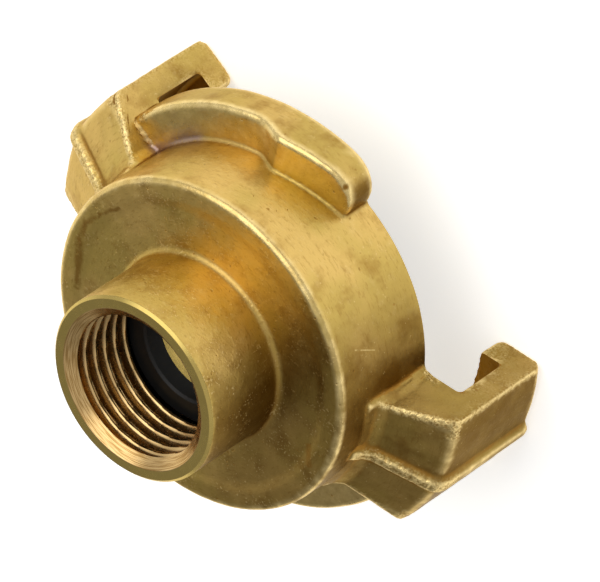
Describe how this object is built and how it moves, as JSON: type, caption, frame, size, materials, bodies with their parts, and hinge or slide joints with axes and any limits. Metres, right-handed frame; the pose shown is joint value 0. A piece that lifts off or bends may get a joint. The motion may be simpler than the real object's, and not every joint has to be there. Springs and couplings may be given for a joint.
{
  "type": "quick coupling",
  "caption": "Forged brass claw coupling half with hooks, cam lips, a rubber face seal and a female pipe thread for water hoses and pipes.",
  "frame": {"origin": "on the bore's axis, at the plane of the hook ends on which the half stands", "axes": "+Z along the bore's axis from the hook ends to the threaded mouth, +X through the middle of a hook"},
  "size_m": [0.0642, 0.054, 0.04],
  "materials": {
    "forged_brass": "as forged and shot blasted, with a machined mouth and machined claw face",
    "black_rubber": "semi-matt moulded rubber"
  },
  "bodies": {
    "root": {"coupling_body": "forged_brass", "face_seal": "black_rubber", "thread_gasket": "black_rubber"}
  },
  "joints": []
}
